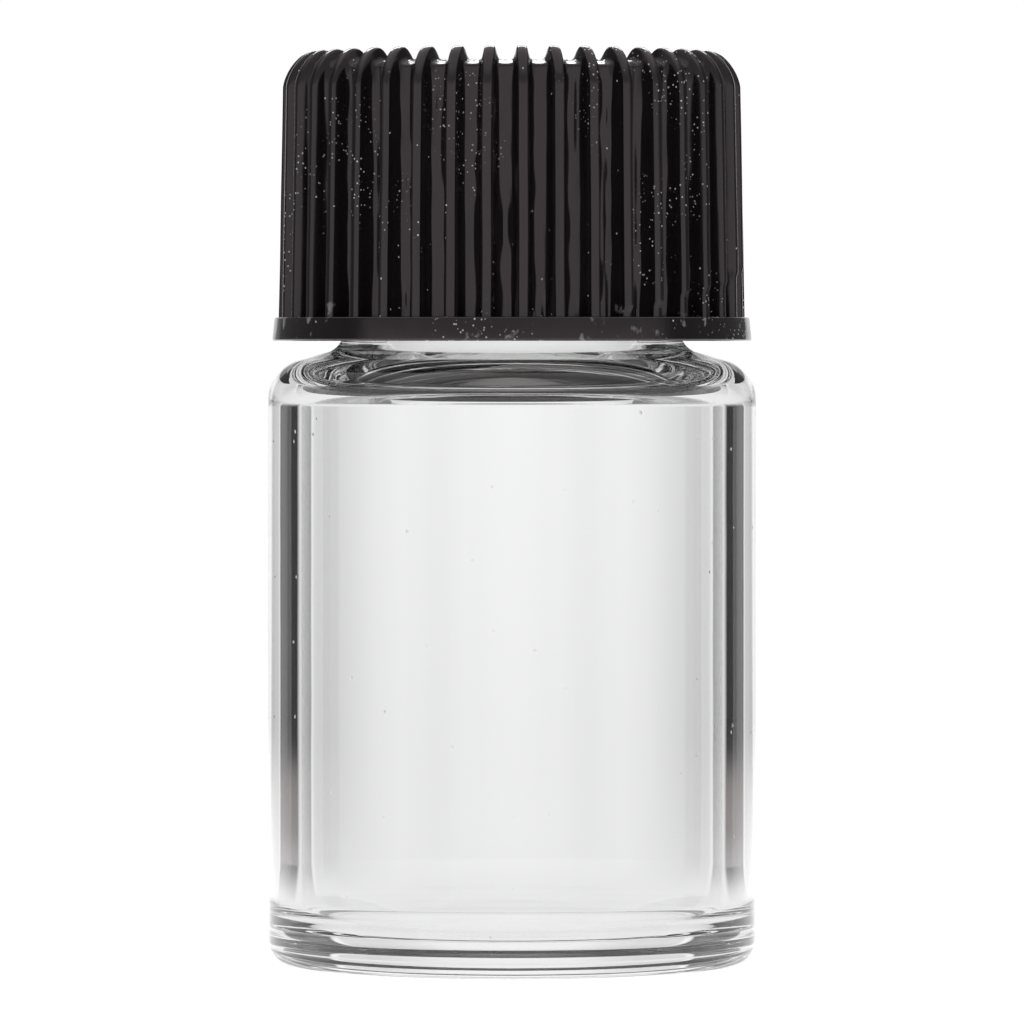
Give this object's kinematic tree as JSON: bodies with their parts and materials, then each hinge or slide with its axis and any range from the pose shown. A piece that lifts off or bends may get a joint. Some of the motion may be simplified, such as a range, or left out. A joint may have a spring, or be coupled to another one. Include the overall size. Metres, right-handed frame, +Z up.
{
  "type": "screw cap sample vial",
  "caption": "Small clear glass sample vial with a ribbed black screw cap and a lined lid, for gold flakes and fine samples.",
  "frame": {"origin": "centre of the base, on the plane that the vial stands on", "axes": "+Z up along the common axis of the glass, the liner and the cap; the front is towards -Y and +X is to the right of it"},
  "size_m": [0.0164, 0.0164, 0.0308],
  "materials": {
    "clear_glass": "clear, fire-polished",
    "cap_plastic": "semi-gloss moulded black",
    "liner_foam": "fine closed-cell foam",
    "liner_film": "smooth satin film"
  },
  "bodies": {
    "vial": {"glass_vial": "clear_glass"},
    "seal": {"liner_backing": "liner_foam", "liner_facing": "liner_film"},
    "cap": {"screw_cap": "cap_plastic"}
  },
  "joints": [
    {"name": "cap_rise", "type": "slide", "parent": "vial", "child": "seal", "axis": [0, 0, 1], "range_m": [0, 0.00953]},
    {"name": "cap_turn", "type": "hinge", "parent": "seal", "child": "cap", "pos_m": [0, 0, 0.025], "axis": [0, 0, 1], "range_deg": [0, 1621]}
  ],
  "couplings": [
    {"joint": "cap_turn", "follows": "cap_rise", "rad_per_m": 2968.4}
  ]
}
